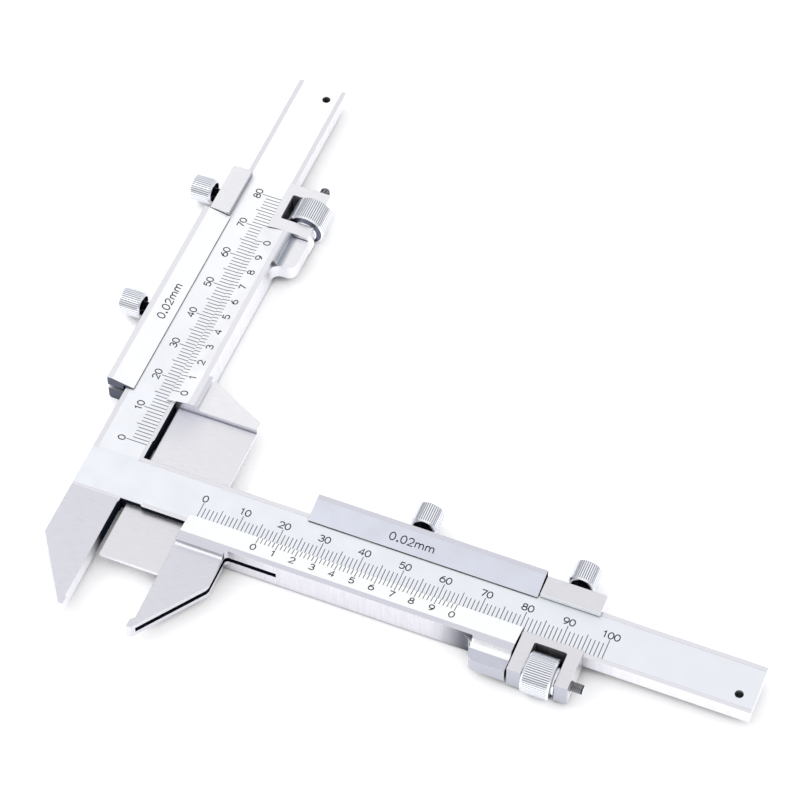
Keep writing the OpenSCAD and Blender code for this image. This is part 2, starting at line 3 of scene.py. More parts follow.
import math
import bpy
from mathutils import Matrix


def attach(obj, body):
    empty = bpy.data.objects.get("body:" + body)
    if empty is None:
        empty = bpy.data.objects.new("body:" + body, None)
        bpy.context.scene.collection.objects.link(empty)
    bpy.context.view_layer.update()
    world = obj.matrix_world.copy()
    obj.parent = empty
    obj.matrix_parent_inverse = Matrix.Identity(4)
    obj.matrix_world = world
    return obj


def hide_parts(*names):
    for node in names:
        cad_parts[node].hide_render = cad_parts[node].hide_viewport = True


bl_info = {
    "name": "Gear Tooth Caliper",
    "version": (1, 0, 0),
    "blender": (4, 5, 0),
    "location": "3D View > Sidebar > Caliper",
    "description": "Steel finishes, graduations, knurls and threads of a gear tooth caliper",
    "category": "Object",
}

from collections import namedtuple
from functools import partial

import bmesh
import bpy
from bpy.props import FloatProperty, FloatVectorProperty, IntProperty, PointerProperty
from mathutils import Matrix, Vector

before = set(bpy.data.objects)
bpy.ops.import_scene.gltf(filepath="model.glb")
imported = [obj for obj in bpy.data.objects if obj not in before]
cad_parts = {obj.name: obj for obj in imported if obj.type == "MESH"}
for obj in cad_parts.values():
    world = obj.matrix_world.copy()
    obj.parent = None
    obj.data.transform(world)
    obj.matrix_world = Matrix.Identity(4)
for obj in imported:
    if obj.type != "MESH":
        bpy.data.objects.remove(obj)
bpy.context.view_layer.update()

MM = 0.001

# The scales' own axes: u runs along a beam from its zero line, v across it towards the
# clamping rail, and z up from the beam's face. Lengths are in millimetres.
SCALE_ORIGIN = Vector((-45.825, -45.55, 6.5))
DEPTH_LINE = 24.55
THICKNESS_BEAM = Matrix.Translation(SCALE_ORIGIN)
DEPTH_BEAM = THICKNESS_BEAM @ Matrix.Translation((-DEPTH_LINE, 0, 0)) @ Matrix.Rotation(
    math.pi / 2, 4, "Z"
)

# Where each slider stands at the readings of the photograph, and how long its tail is.
# The knurled band of each nut is given along u from the nut's own end, and the words of the
# reading step along u from the lock screw.
Axis = namedtuple(
    "Axis", "name beam scale_zero last_figure slider tail carriage_gap nut_band words"
)
AXES = (
    Axis("thickness", THICKNESS_BEAM, 0.0, 100, 15.85, 65.05, 0.5, (0.2, 7.1), 0.0),
    Axis("depth", DEPTH_BEAM, 10.03, 80, 26.43, 53.8, 0.15, (0.66, 7.56), 1.9),
)

# Heights of the faces that carry marks, as (at this v, height, rise per millimetre of |v|).
Plane = namedtuple("Plane", "start height rise")
BEAM_FACE = Plane(0.0, -0.08, 0.0)
VERNIER_BEVEL = Plane(4.3, 0.45, 0.191)
RAIL_BEVEL = Plane(4.4, 0.3, 0.2162)

# The middle lines of the screws and studs, and the sizes of the turned pieces.
SCREW_PLANE = -2.0
STUD_PLANE = -1.6
STUD_LINE = -13.65
LOCK_INSET = 31.65
LOCK_TIP = 6.73
LOCK_HEAD = 13.5
CLAMP_TIP = 7.03
CLAMP_HEAD = 12.1
CARRIAGE_LENGTH = 14.5
HEAD_RADIUS = 3.35
HEAD_LENGTH = 5.7
HEAD_CHAMFER = 0.45
HEAD_RIM = 0.9
HEAD_HOLLOW = 0.4
SHANK_RADIUS = 1.25
NUT_START = 3.47
NUT_LENGTH = 7.76
NUT_RADIUS = 4.85
NUT_CHAMFER = 0.45
NUT_HUB = 3.3
HUB_CHAMFER = 0.15
NUT_BORE = 1.3
STUD_RADIUS = 1.25
STUD_GRIP = 8.0
STUD_REACH = 17.9
THREAD_CHAMFER = 0.3
# Depth of a sixty degree thread and half the width of its groove, as shares of its pitch,
# and how finely it is drawn: stations to a pitch, and points around it.
THREAD_DEPTH = 0.6
THREAD_HALF = 0.42
THREAD_STEPS = 8
THREAD_SIDES = 32
# Points around the knurl in each of its pitches.
KNURL_STEPS = 6
# Turned edges sharper than these degrees aren't smoothed over.
SHARP_ANGLE = 28

# Where the marks lie across a beam. A beam's lines run up from their feet, and a vernier's
# down from their tops; every fifth line is longer, and every tenth on a beam longer still.
BEAM_LINE_FEET = -5.27
BEAM_LINE_TOPS = (-1.2, -0.42, 0.0)
BEAM_FIGURES = 0.32
VERNIER_TOPS = -4.31
VERNIER_FEET = (-5.95, -6.38)
VERNIER_FIGURES = -8.45
READING_FIGURES = 6.3
# Fifty divisions of the vernier share 49 mm.
VERNIER_DIVISIONS = 50
VERNIER_STEP = 0.98
# From one figure to the next, and from the middle of a number back to its line.
FIGURE_STEP = 1.5
FIGURE_SHIFT = 0.12


def linear(hex_color):
    """An sRGB hex colour as linear red, green, blue and alpha."""
    channels = [int(hex_color[i : i + 2], 16) / 255 for i in (1, 3, 5)]
    return tuple(
        c / 12.92 if c <= 0.04045 else ((c + 0.055) / 1.055) ** 2.4 for c in channels
    ) + (1.0,)


def color_property(name, description, hex_color):
    return FloatVectorProperty(
        name=name,
        description=description,
        subtype="COLOR",
        size=4,
        min=0.0,
        max=1.0,
        default=linear(hex_color),
    )


def length_property(name, description, millimetres):
    return FloatProperty(
        name=name,
        description=description,
        subtype="DISTANCE",
        unit="LENGTH",
        default=millimetres * MM,
        min=0.0,
        precision=5,
    )


class CaliperFinishes(bpy.types.PropertyGroup):
    """Colours of the steel's finishes."""

    satin_face: color_property(
        "Satin chrome", "Chrome plating on the thickness beam's graduated face", "#E6E9EF"
    )
    # The depth beam's face has the same plating as the thickness beam's; its lighter tone is a
    # painted highlight.
    depth_satin: color_property(
        "Depth satin", "Chrome plating on the depth beam's graduated face", "#EBEDF3"
    )
    # Painted highlight: the depth beam's face lightens towards its free end, and one upright
    # wall of each carriage is lighter.
    bright: color_property(
        "Bright chrome", "Thicker chrome towards the depth beam's free end", "#FBFCFE"
    )
    satin_bevel: color_property(
        "Vernier bevel", "Chrome plating on the sliders' vernier bevels", "#FCFDFF"
    )
    # The same plating as the thickness vernier's bevel, a little darker as painted shade.
    depth_bevel: color_property(
        "Depth vernier", "Chrome plating on the depth slider's vernier bevel", "#F7F8FC"
    )
    # The roots' near white tone is a painted highlight.
    scoop: color_property(
        "Polished scoop", "Buffed root of the sliding jaw and the lugs", "#FAFAFC"
    )
    # The same chrome as the depth rail, darker as painted shade.
    thickness_rail: color_property(
        "Thickness rail", "Chrome plating on the thickness slider's rail", "#CFD2DD"
    )
    depth_rail: color_property(
        "Depth rail", "Chrome plating on the depth slider's rail", "#F8F9FC"
    )
    ground_edge: color_property(
        "Ground edge", "Surface ground strips and edges of the beams", "#E0DFE5"
    )
    # The thickness slider's flats are the depth slider's finish, darker as painted shade; this
    # tone also paints shade on the tongue and by the depth slider's ear.
    ground_band: color_property(
        "Ground band", "Surface ground flats of the thickness slider", "#CFCFD9"
    )
    depth_band: color_property(
        "Depth band", "Surface ground flats of the depth slider", "#E4E3E9"
    )
    # Upright faces take their own tone, a painted reflection of the floor.
    ground_wall: color_property(
        "Ground wall", "Upright faces of beams, sliders and carriages", "#E4E4EA"
    )
    # The thickness slider's walls, also a painted reflection.
    slider_wall: color_property(
        "Slider wall", "Upright faces of the thickness slider", "#D3D2D9"
    )
    # Painted shade on the fronts of the thickness lug and carriage, and on the depth
    # carriage's inner wall.
    front_wall: color_property(
        "Front wall", "Front faces of the thickness lug and its fork", "#B4B6C0"
    )
    lug_top: color_property("Lug top", "Top of the thickness slider's lug", "#C2C4D0")
    # Painted shade at the root of the depth slider's lug, and a painted shadow line across the
    # tongue under the depth slider's ear.
    lug_shade: color_property(
        "Lug shade", "Thin film of oil on the sliders beside their lugs", "#999EA9"
    )
    # Painted shade on the thickness slider's wall by its lug.
    wall_shade: color_property(
        "Wall shade", "Thicker film on the thickness slider's wall by its lug", "#4E525C"
    )
    # Painted shade on the depth rail's sawn end and the nuts' turned end faces.
    end_face: color_property(
        "End faces", "Dull film on the rails' sawn ends and the nuts' turned faces", "#6B6F7C"
    )
    jaw: color_property("Brushed jaws", "Long grained steel of both jaws", "#D2D2DA")
    brushed: color_property(
        "Brushed steel", "Long grained steel of the tongue's tip and a carriage", "#DAD9DE"
    )
    tongue: color_property(
        "Brushed tongue", "Long grained steel of the tongue's upper half", "#E1E0E5"
    )
    # Lighter than the thickness carriage's brushed steel, a painted highlight.
    depth_brushed: color_property(
        "Bright brushed", "Long grained steel along the depth beam", "#E9E9ED"
    )
    # Painted shade, nearly black, on the walls beside the tongue, in the fork's slot and on
    # the thickness rail's end.
    oil: color_property(
        "Oil film", "Dark oil and dust on the walls beside the tongue", "#1C232F"
    )
    knurl: color_property(
        "Knurled chrome", "Bright plating of the knurled heads and nuts", "#EDEFF5"
    )
    # Painted shade in the grooves of the knurls.
    groove: color_property(
        "Knurl groove", "Duller plating in the grooves of the knurls", "#9A9EAE"
    )
    # Dark oiled steel, darkened further as painted shade; it also paints the heads' hollows.
    thread: color_property(
        "Oiled thread", "Bare oiled steel of threads and recesses", "#20242D"
    )
    spring: color_property("Spring steel", "Blued spring strip in the rails", "#22252C")
    brass: color_property("Brass", "Brass pads in front of the clamp screws", "#C8A75C")
    filling: color_property(
        "Filling", "Dark filling of the engraved lines and figures", "#0D1224"
    )


class CaliperMarks(bpy.types.PropertyGroup):
    """Sizes of the engraved lines and figures."""

    line_width: length_property("Line width", "Width of the graduation lines", 0.17)
    stroke_width: length_property("Stroke width", "Width of the figures' strokes", 0.27)
    figure_height: length_property(
        "Figure height", "Height of the figures between stroke middles", 1.7
    )
    reading_height: length_property(
        "Reading height", "Height of the reading step on the rails", 1.85
    )
    relief: length_property(
        "Filling height", "How far the filling stands above the steel", 0.012
    )


class CaliperTurnedParts(bpy.types.PropertyGroup):
    """Knurls and threads of the turned pieces."""

    head_grooves: IntProperty(
        name="Head grooves",
        description="Knurl grooves around each thumb screw",
        default=40,
        min=12,
        max=80,
    )
    nut_grooves: IntProperty(
        name="Nut grooves",
        description="Knurl grooves around each adjusting nut",
        default=56,
        min=16,
        max=100,
    )
    groove_depth: length_property("Groove depth", "Depth of the knurl's grooves", 0.16)
    stud_pitch: length_property("Stud pitch", "Thread pitch of the studs", 0.45)
    screw_pitch: length_property(
        "Screw pitch", "Thread pitch of the thumb screws", 0.45
    )


class CaliperStage(bpy.types.PropertyGroup):
    """Floor, sky and lamp of the studio."""

    floor_color: color_property("Floor", "Matt white floor", "#F4F4F5")
    key_power: FloatProperty(
        name="Key lamp",
        description="Power of the large soft lamp",
        subtype="POWER",
        default=2.2,
        min=0.0,
    )


def add_node(tree, kind, inputs=None, **settings):
    """Adds one node with its settings, and gives its outputs. An input is a constant or
    another node's output."""
    node = tree.nodes.new("ShaderNode" + kind)
    for name, value in settings.items():
        setattr(node, name, value)
    for name, value in (inputs or {}).items():
        if isinstance(value, bpy.types.NodeSocket):
            tree.links.new(value, node.inputs[name])
        else:
            node.inputs[name].default_value = value
    return node.outputs


# Colour and roughness of edges that handling has polished; the lighter colour is also a
# painted highlight.
WORN_HIGHLIGHT_STEEL = "#F6F6F8"
WORN_ROUGHNESS = 0.16

# One way of finishing steel. The grain is the size in millimetres of its scratches along
# X, Y and Z, contrast how far they lighten and darken it, and depth theirs in millimetres.
Finish = namedtuple("Finish", "color roughness grain contrast depth")
# A finish inside bands of the part's own X, Y and Z, each (low, high, fade) in millimetres.
Zone = namedtuple("Zone", "finish bands")
# A film that tints the upright or the lying faces inside such bands; most paint shade and
# highlight onto the steel. A matt one hides the metal's shine.
Film = namedtuple("Film", "color bands upright matt", defaults=(False,))


def inside_bands(add, axes, bands):
    """One inside all the bands, and none further from one of them than its fade."""
    inside = 1.0
    for axis, (low, high, fade) in bands.items():
        middle, half = (low + high) / 2, (high - low) / 2
        away = add("Math", {0: axes[axis], 1: middle}, operation="SUBTRACT")[0]
        away = add("Math", {0: away}, operation="ABSOLUTE")[0]
        band = add(
            "MapRange",
            {0: away, 1: half, 2: half + fade, 3: 1, 4: 0},
            interpolation_type="SMOOTHSTEP",
        )[0]
        inside = add("Math", {0: band, 1: inside}, operation="MULTIPLY")[0]
    return inside


def machined_steel(name, finish, wall=None, zones=(), films=(), edge=0.12, gaps=True):
    """A steel with scratches of a real size, polished edges painted lighter, and other
    finishes in zones.
    Its upright faces take the wall's colour, a painted reflection, and narrow gaps painted
    shade."""
    material = bpy.data.materials.new(name)
    material.use_nodes = True
    tree = material.node_tree
    add = partial(add_node, tree)
    shader = tree.nodes["Principled BSDF"]
    shader.inputs["Metallic"].default_value = metal = 1.0
    shader.inputs["Specular IOR Level"].default_value = 0.0
    place = add("TexCoord")["Object"]
    place = add("VectorMath", {0: place, 1: (1 / MM,) * 3}, operation="MULTIPLY")[0]
    axes = add("SeparateXYZ", {0: place})
    color = roughness = height = None
    for layer in (Zone(finish, {}), *zones):
        own = layer.finish
        fine = [1 / size for size in own.grain]
        scratches = add("VectorMath", {0: place, 1: fine}, operation="MULTIPLY")[0]
        noise = add("TexNoise", {"Vector": scratches, "Scale": 1.0, "Detail": 3.0})[0]
        # Most of the noise lies between 0.3 and 0.7.
        shade, own_roughness = (
            add("MapRange", {0: noise, 1: 0.3, 2: 0.7, 3: low, 4: high})[0]
            for low, high in (
                (1 - own.contrast, 1 + own.contrast),
                (own.roughness * 0.8, own.roughness * 1.2),
            )
        )
        own_color = add(
            "VectorMath", {0: own.color[:3], "Scale": shade}, operation="SCALE"
        )[0]
        own_height = add("Math", {0: noise, 1: own.depth * MM}, operation="MULTIPLY")[0]
        if not layer.bands:
            color, roughness, height = own_color, own_roughness, own_height
            continue
        inside = inside_bands(add, axes, layer.bands)
        color = add("Mix", {0: inside, 6: color, 7: own_color}, data_type="RGBA")[2]
        roughness = add("Mix", {0: inside, 2: roughness, 3: own_roughness})[0]
        height = add("Mix", {0: inside, 2: height, 3: own_height})[0]
    if wall:
        # Upright faces are cut with the side of the cutter; their own brighter tone is a
        # painted reflection of the floor.
        facing = add("TexCoord")["Normal"]
        facing = add("SeparateXYZ", {0: facing})[2]
        upright = add("Math", {0: facing, 1: 0.0, 2: 0.5}, operation="COMPARE")[0]
        lying = add("Math", {0: 1.0, 1: upright}, operation="SUBTRACT")[0]
        # The cutter leaves faint marks down the wall, drawn 0.5 mm apart.
        marks = add("VectorMath", {0: place, 1: (2, 2, 0.1)}, operation="MULTIPLY")[0]
        marks = add("TexNoise", {"Vector": marks, "Scale": 1.0})[0]
        marks = add("MapRange", {0: marks, 1: 0.35, 2: 0.65, 3: 0.95, 4: 1.03})[0]
        milled_wall_sheen = add("VectorMath", {0: wall[:3], "Scale": marks}, operation="SCALE")[0]
        color = add("Mix", {0: upright, 6: color, 7: milled_wall_sheen}, data_type="RGBA")[2]
        for film in films:
            inside = inside_bands(add, axes, film.bands)
            faces = upright if film.upright else lying
            share = add("Math", {0: inside, 1: faces}, operation="MULTIPLY")[0]
            color = add("Mix", {0: share, 6: color, 7: film.color}, data_type="RGBA")[2]
            if film.matt:
                metal = add("Math", {0: metal, 1: share}, operation="SUBTRACT")[0]
    normal = {}
    if edge:
        # Handling polishes the broken edges first: they are smoother, and their brighter
        # colour is a painted highlight.
        rounded = add("Bevel", {"Radius": edge * MM}, samples=4)[0]
        flat = add("NewGeometry")["Normal"]
        turn = add("VectorMath", {0: rounded, 1: flat}, operation="DOT_PRODUCT")["Value"]
        worn_highlight = add("MapRange", {0: turn, 1: 0.99, 2: 0.8, 3: 0.0, 4: metal})[0]
        roughness = add("Mix", {0: worn_highlight, 2: roughness, 3: WORN_ROUGHNESS})[0]
        color = add("Mix", {0: worn_highlight, 6: color, 7: linear(WORN_HIGHLIGHT_STEEL)}, data_type="RGBA")[2]
        normal = {"Normal": rounded}
    bump = add("Bump", {"Height": height, "Distance": 1.0, **normal})[0]
    if gaps:
        # Little light gets into narrow gaps, so their colour and shine are darkened as painted
        # shade.
        open_sky = add("AmbientOcclusion", {"Distance": 4 * MM}, samples=6)["AO"]
        unshaded = add("MapRange", {0: open_sky, 1: 0.2, 2: 0.52, 3: 0.005, 4: 1.0})[0]
        color = add("VectorMath", {0: color, "Scale": unshaded}, operation="SCALE")[0]
        metal = add("Math", {0: unshaded, 1: metal}, operation="MULTIPLY")[0]
        tree.links.new(metal, shader.inputs["Metallic"])
    for value, socket in ((color, "Base Color"), (roughness, "Roughness"), (bump, "Normal")):
        tree.links.new(value, shader.inputs[socket])
    return material


def beam_bands(beam, u=None, v=None, z=None):
    """Bands along and across a beam and in height, as bands of the part's own X, Y and Z."""
    turned = beam is DEPTH_BEAM
    bands = {}
    for axis, band in ((int(turned), u), (int(not turned), v), (2, z)):
        if band is None:
            continue
        low, high, *fade = band
        if turned and axis == 0:
            low, high = -DEPTH_LINE - high, -DEPTH_LINE - low
        low, high = low + SCALE_ORIGIN[axis], high + SCALE_ORIGIN[axis]
        bands[axis] = (low, high, fade[0] if fade else 0.001)
    return bands


def zone(finish, beam, **bands):
    """A finish inside bands along and across a beam."""
    return Zone(finish, beam_bands(beam, **bands))


def wall_film(color, beam, matt=False, **bands):
    """A film on upright faces inside bands along and across a beam."""
    return Film(color, beam_bands(beam, **bands), True, matt)


def face_film(color, beam, matt=False, **bands):
    """A film on lying faces inside bands along and across a beam."""
    return Film(color, beam_bands(beam, **bands), False, matt)


def assign(node_name, material):
    """Gives a solid of the frame its material."""
    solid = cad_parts[node_name]
    if not solid.material_slots:
        solid.data.materials.append(material)
    for slot in solid.material_slots:
        slot.material = material


class CALIPER_OT_finish_steel(bpy.types.Operator):
    """Gives the solids their ground, brushed and satin chrome finishes"""

    bl_idname = "caliper.finish_steel"
    bl_label = "Finish the steel"

    def execute(self, context):
        hues = context.scene.caliper_finishes
        across, along = THICKNESS_BEAM, DEPTH_BEAM

        # Surface grinding leaves long fine scratches along a beam. They are 0.02 mm apart
        # on the real one and drawn at 0.12 mm so that they show.
        def ground(color, grain):
            return Finish(color, 0.3, grain, 0.025, 0.001)

        # Satin chrome is blasted before plating: an even fine matt, with no direction and
        # faint clouds a few millimetres wide.
        def satin(color, grain=5):
            return Finish(color, 0.38, (grain,) * 3, 0.015, 0.0008)

        # Jaws and tongue are drawn over a belt, which leaves short scratches along X.
        def brushed(color):
            return Finish(color, 0.34, (3, 0.1, 0.1), 0.06, 0.0015)

        along_x, along_y = (16, 0.12, 0.12), (0.12, 16, 0.12)
        wall = hues.ground_wall
        # Heights of the recessed graduated strips, and of the sliders' bevels.
        strip, bevel = (-0.12, -0.04), (0.2, 1.495)
        # Painted shade darkens the walls beside the tongue, most of all near the inner corner,
        # and a painted highlight lightens the depth beam's face towards its free end.
        assign(
            "frame",
            machined_steel(
                "ground_and_satin_chrome_frame_steel",
                ground(hues.ground_edge, along_x),
                wall,
                (
                    zone(ground(hues.ground_edge, along_y), along, u=(6.35, 140)),
                    zone(brushed(hues.jaw), across, v=(-45, -6.37)),
                    zone(satin(hues.satin_face), across, z=strip),
                    zone(satin(hues.depth_satin), along, u=(5.7, 140), z=strip),
                ),
                (
                    face_film(hues.bright, along, u=(110, 140, 90), v=(-5.3, 5.3)),
                    wall_film(hues.oil, across, True, u=(-19.4, -17.8), v=(-16, -6.3, 7)),
                    wall_film(hues.oil, along, True, u=(6.3, 26, 4), v=(-6.5, -5.4)),
                    wall_film(hues.oil, across, True, u=(-18, 3, 4), v=(-6.5, -5.4)),
                ),
            ),
        )
        # The roots of the jaw and lug are buffed with a round mop, and their near white tone
        # is a painted highlight.
        scoop = Finish(hues.scoop, 0.2, (6, 0.3, 0.3), 0.02, 0.0005)
        lug, by_lug = (71.4, 80.8), (71.2, 90)
        assign(
            "thickness_slider",
            machined_steel(
                "ground_and_satin_chrome_thickness_slider_steel",
                ground(hues.ground_band, along_x),
                hues.slider_wall,
                (
                    zone(brushed(hues.jaw), across, u=(-25, 30), v=(-45, -12.4)),
                    zone(brushed(hues.lug_top), across, u=(60, 90), v=(-18, -12.4)),
                    zone(scoop, across, v=(-12.8, -11.15), z=(-5, 1)),
                    zone(satin(hues.satin_bevel), across, v=(-9.79, -4), z=bevel),
                    zone(satin(hues.thickness_rail, 6), across, v=(4.2, 9.94), z=bevel),
                ),
                (
                    # Painted shade darkens the fork's slot and the tongue's path through the
                    # wall.
                    face_film(hues.oil, across, True, z=(-2.8, -1.2)),
                    # Painted shade on the wall by the lug, and a painted highlight on the
                    # lug's root beyond it.
                    wall_film(
                        hues.wall_shade, across, u=(70.5, 71.4, 10), v=(-11.6, -10.6)
                    ),
                    wall_film(hues.scoop, across, u=by_lug, v=(-12.4, -10.6)),
                    face_film(
                        hues.scoop, across, u=by_lug, v=(-13.5, -11.15, 0.2), z=(-5, 1)
                    ),
                    # Painted shade on the lug's front and on the rail's sawn end.
                    wall_film(hues.front_wall, across, u=lug, v=(-17, -16)),
                    wall_film(hues.oil, across, True, u=(80.8, 81), v=(4, 12)),
                ),
            ),
        )
        assign(
            "depth_slider",
            machined_steel(
                "ground_and_satin_chrome_depth_slider_steel",
                ground(hues.depth_band, along_y),
                wall,
                (
                    zone(brushed(hues.depth_brushed), along, v=(-45, -11.3)),
                    zone(satin(hues.depth_bevel), along, v=(-9.79, -4), z=bevel),
                    zone(satin(hues.depth_rail, 6), along, v=(4.2, 9.94), z=bevel),
                ),
                (
                    # Painted shade at the lug's root, at the ear's root and on the rail's sawn
                    # end.
                    face_film(hues.lug_shade, along, u=(70, 81), v=(-12.6, -12, 1.4)),
                    face_film(hues.ground_band, along, u=(23, 33), v=(-12, -11.6, 0.5)),
                    wall_film(hues.end_face, along, True, u=(23.5, 23.62), v=(4, 12)),
                ),
            ),
        )
        # The tongue is lighter above the thickness beam than between the jaws.
        assign(
            "tongue",
            machined_steel(
                "brushed_tongue_steel",
                brushed(hues.tongue),
                wall,
                (zone(brushed(hues.brushed), across, v=(-45, 0)),),
                (
                    # Painted shade on the tongue by the ear, and a painted shadow line along
                    # the ear's edge.
                    face_film(hues.ground_band, along, u=(22, 24, 12), v=(-9, -6, 9)),
                    face_film(hues.lug_shade, along, u=(23.45, 24, 0.3), v=(-40, -6)),
                ),
            ),
        )
        # One carriage has a front darkened by painted shade and an inner wall lightened by a
        # painted highlight, the other the reverse.
        for axis, color, front, inner in (
            (AXES[0], hues.brushed, hues.front_wall, hues.bright),
            (AXES[1], hues.depth_brushed, hues.bright, hues.front_wall),
        ):
            films = (
                wall_film(front, axis.beam, v=(-17, -16)),
                wall_film(inner, axis.beam, v=(4, 5.5)),
            )
            name = f"brushed_{axis.name}_carriage_steel"
            assign(
                axis.name + "_carriage",
                machined_steel(name, brushed(color), wall, films=films),
            )
        thread_steel = machined_steel(
            "oiled_screw_steel",
            Finish(hues.thread, 0.3, (0.6, 0.6, 0.6), 0.05, 0.001),
            edge=0.05,
        )
        # Spring strip is rolled and blued, and the oiled oxide leaves it dark and matt.
        spring_steel = machined_steel(
            "blued_spring_steel",
            Finish(hues.spring, 0.45, (4, 4, 0.3), 0.08, 0.0005),
            hues.spring,
            films=tuple(Film(hues.spring, {}, upright, True) for upright in (True, False)),
            edge=0,
        )
        # The pads are sawn from drawn brass rod and only deburred.
        brass = machined_steel(
            "drawn_brass", Finish(hues.brass, 0.35, (0.3, 0.3, 0.3), 0.08, 0.001)
        )
        for axis in AXES:
            assign(axis.name + "_gib_spring", spring_steel)
            assign(axis.name + "_clamp_pad", brass)
        assign("tongue_screws", thread_steel)
        assign("tongue_dowels", thread_steel)
        return {"FINISHED"}


def arc(x, y, wide, high, start, end, steps=10):
    """Points of an elliptic arc between two angles in degrees."""
    turns = [math.radians(start + (end - start) * i / steps) for i in range(steps + 1)]
    return [(x + wide * math.cos(t), y + high * math.sin(t)) for t in turns]


# Single stroke figures of an engraving machine, one unit high. A figure is a list of
# strokes and its width; a stroke that ends where it starts is closed.
FIGURES = {
    "0": ([arc(0.36, 0.5, 0.36, 0.5, 90, 450, 20)], 0.72),
    "1": ([[(0.1, 0.79), (0.36, 1.0), (0.36, 0.0)]], 0.56),
    "2": (
        [arc(0.35, 0.69, 0.33, 0.31, 170, -35) + [(0.02, 0.0), (0.72, 0.0)]],
        0.74,
    ),
    "3": (
        [
            arc(0.33, 0.76, 0.3, 0.24, 160, -85, 9)
            + arc(0.34, 0.27, 0.35, 0.27, 80, -160, 11)
        ],
        0.7,
    ),
    "4": ([[(0.54, 0.0), (0.54, 1.0), (0.0, 0.28), (0.74, 0.28)]], 0.74),
    "5": (
        [[(0.64, 1.0), (0.13, 1.0), (0.06, 0.54)] + arc(0.34, 0.33, 0.35, 0.33, 128, -150)],
        0.7,
    ),
    "6": (
        [
            arc(0.36, 0.32, 0.35, 0.32, 180, 540, 18),
            arc(0.72, 0.34, 0.71, 0.66, 180, 102, 8),
        ],
        0.72,
    ),
    "7": ([[(0.02, 1.0), (0.7, 1.0), (0.26, 0.0)]], 0.7),
    "8": (
        [
            arc(0.36, 0.77, 0.27, 0.23, -90, 270, 16),
            arc(0.36, 0.27, 0.35, 0.27, 90, 450, 18),
        ],
        0.72,
    ),
    "9": (
        [
            arc(0.36, 0.68, 0.35, 0.32, 0, 360, 18),
            arc(0.0, 0.66, 0.71, 0.66, 0, -78, 8),
        ],
        0.72,
    ),
    ".": ([arc(0.0, 0.06, 0.068, 0.068, 0, 360, 8)], 0.0),
    "m": (
        [
            [(0.0, 0.0), (0.0, 0.68)],
            [(0.0, 0.4)] + arc(0.26, 0.42, 0.26, 0.26, 180, 0, 8) + [(0.52, 0.0)],
            arc(0.78, 0.42, 0.26, 0.26, 180, 0, 8) + [(1.04, 0.0)],
        ],
        1.04,
    ),
}


def add_stroke(mesh, points, width, plane, relief):
    """Adds one filled line: a closed strip that stands a little above the face it lies on."""
    closed = len(points) > 2 and math.dist(points[0], points[-1]) < 1e-6
    line = [Vector(p) for p in (points[:-1] if closed else points)]
    sides = []
    for i, point in enumerate(line):
        before = line[i - 1] if closed or i else None
        after = line[(i + 1) % len(line)] if closed or i + 1 < len(line) else None
        ways = []
        if before is not None:
            ways.append((point - before).normalized())
        if after is not None:
            ways.append((after - point).normalized())
        way = sum(ways, Vector((0, 0))).normalized()
        across = Vector((-way.y, way.x))
        stretch = 1 / max(0.5, abs(way.dot(ways[0])))
        reach = across * width / 2 * stretch
        sides.append((point + reach, point - reach))
    rings = []
    for left, right in sides:
        ring = []
        for u, v in (left, right):
            face = plane.height + (abs(v) - plane.start) * plane.rise
            ring.append([mesh.verts.new((u, v, face + h)) for h in (relief, -relief)])
        (left_top, left_low), (right_top, right_low) = ring
        rings.append((left_top, left_low, right_low, right_top))
    count = len(rings)
    for i in range(count if closed else count - 1):
        a, b = rings[i], rings[(i + 1) % count]
        for j in range(4):
            mesh.faces.new((a[j], a[(j + 1) % 4], b[(j + 1) % 4], b[j]))
    if not closed:
        mesh.faces.new(rings[0])
        mesh.faces.new(reversed(rings[-1]))


def add_figures(mesh, marks, plane, text, middle, low, height):
    """Adds a number or a single letter, spread around its middle."""
    for place, letter in enumerate(text):
        shapes, width = FIGURES[letter]
        start = middle + (place - (len(text) - 1) / 2) * FIGURE_STEP - width * height / 2
        for shape in shapes:
            stroke = [(start + x * height, low + y * height) for x, y in shape]
            add_stroke(mesh, stroke, marks.stroke_width / MM, plane, marks.relief / MM)


def finish_piece(mesh, name, place, materials, body, sharp=None):
    """Makes one piece of a mesh that was drawn in millimetres, and lets it ride on a body."""
    bmesh.ops.recalc_face_normals(mesh, faces=mesh.faces)
    data = bpy.data.meshes.new(name)
    mesh.to_mesh(data)
    mesh.free()
    data.transform(Matrix.Scale(MM, 4) @ place)
    for material in materials:
        data.materials.append(material)
    if sharp:
        data.polygons.foreach_set("use_smooth", [True] * len(data.polygons))
        data.set_sharp_from_angle(angle=math.radians(sharp))
    piece = bpy.data.objects.new(name, data)
    bpy.context.scene.collection.objects.link(piece)
    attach(piece, body)
    return piece


def line_filling(context):
    """The lacquer that fills the engraved lines: matt, with a slightly uneven tone."""
    found = bpy.data.materials.get("baked_black_line_filling")
    if found:
        return found
    material = bpy.data.materials.new("baked_black_line_filling")
    material.use_nodes = True
    tree = material.node_tree
    add = partial(add_node, tree)
    shader = tree.nodes["Principled BSDF"]
    place = add("TexCoord")["Object"]
    # Lacquer wiped into a groove varies over about 0.4 mm.
    noise = add("TexNoise", {"Vector": place, "Scale": 1 / (0.4 * MM)})[0]
    shade = add("MapRange", {0: noise, 1: 0.3, 2: 0.7, 3: 0.75, 4: 1.3})[0]
    filling = context.scene.caliper_finishes.filling[:3]
    color = add("VectorMath", {0: filling, "Scale": shade}, operation="SCALE")[0]
    tree.links.new(color, shader.inputs["Base Color"])
    shader.inputs["Roughness"].default_value = 0.6
    shader.inputs["Specular IOR Level"].default_value = 0.25
    return material


